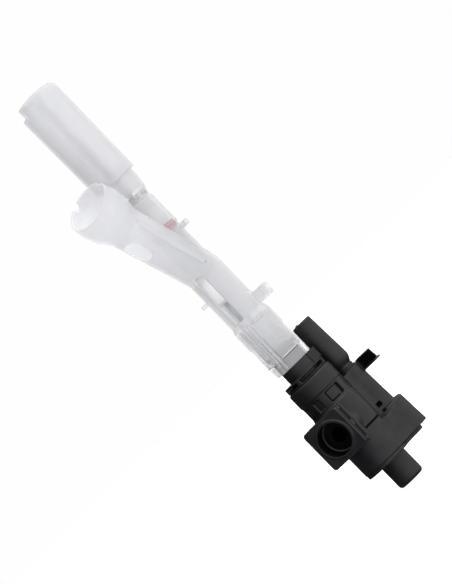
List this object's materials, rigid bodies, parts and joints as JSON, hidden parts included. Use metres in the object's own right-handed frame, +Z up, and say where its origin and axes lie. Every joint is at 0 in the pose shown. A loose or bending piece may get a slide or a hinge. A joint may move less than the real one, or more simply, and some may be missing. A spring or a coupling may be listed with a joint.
{
  "type": "toilet fill valve",
  "caption": "Piston fill valve for a toilet cistern, with a side inlet, a clear riser with a slanted air-break funnel, and an inverted-cup float.",
  "frame": {"origin": "centre of the outlet spigot where it leaves the bottom cover", "axes": "+Z up the spigot, the barrel and the riser; -Y out of the inlet port"},
  "size_m": [0.037, 0.0747, 0.2436],
  "materials": {
    "black_plastic": "satin moulded plastic",
    "clear_plastic": "milky translucent moulded plastic",
    "beige_plastic": "satin moulded plastic",
    "black_rubber": "matte rubber",
    "red_rubber": "matte rubber",
    "spring_steel": "drawn wire"
  },
  "bodies": {
    "valve": {"valve_body": "black_plastic", "bottom_cover": "black_plastic", "cover_seal": "black_rubber", "inlet_filter": "black_plastic", "inlet_washer": "black_rubber", "seat_nozzle": "beige_plastic", "piston_spring": "spring_steel", "bonnet": "black_plastic", "bonnet_seals": "black_rubber", "side_cap": "black_plastic", "side_cap_seal": "black_rubber", "side_spring": "spring_steel", "spigot_seal": "black_rubber", "riser_body": "clear_plastic", "inner_tube": "clear_plastic", "tube_seal": "red_rubber", "guide_cone": "clear_plastic"},
    "float": {"float_cup": "clear_plastic", "float_rod": "beige_plastic", "pilot_washer": "black_rubber"},
    "main_piston": {"valve_piston": "beige_plastic", "piston_seal": "black_rubber", "seat_washer": "black_rubber"},
    "relief_piston": {"side_piston": "beige_plastic", "side_piston_seal": "black_rubber"},
    "right_latch": {"latch_right": "clear_plastic"},
    "left_latch": {"latch_left": "clear_plastic"}
  },
  "joints": [
    {"name": "float_lift", "type": "slide", "parent": "valve", "child": "float", "axis": [0, 0, 1], "range_m": [0, 0.0075]},
    {"name": "main_piston_lift", "type": "slide", "parent": "valve", "child": "main_piston", "axis": [0, 0, 1], "range_m": [0, 0.003], "stiffness_N_per_m": 150, "springref_m": -0.006, "deforming": ["piston_spring"]},
    {"name": "relief_piston_lift", "type": "slide", "parent": "valve", "child": "relief_piston", "axis": [0, 0, 1], "range_m": [0, 0.004], "stiffness_N_per_m": 200, "springref_m": -0.006, "deforming": ["side_spring"]},
    {"name": "right_latch_bend", "type": "hinge", "parent": "valve", "child": "right_latch", "pos_m": [0.00736, -0.01025, 0.0879], "axis": [-0.5878, -0.809, 0], "range_deg": [0, 5], "stiffness_Nm_per_rad": 0.3},
    {"name": "left_latch_bend", "type": "hinge", "parent": "valve", "child": "left_latch", "pos_m": [-0.00736, -0.01025, 0.0879], "axis": [-0.5878, 0.809, 0], "range_deg": [0, 5], "stiffness_Nm_per_rad": 0.3}
  ]
}
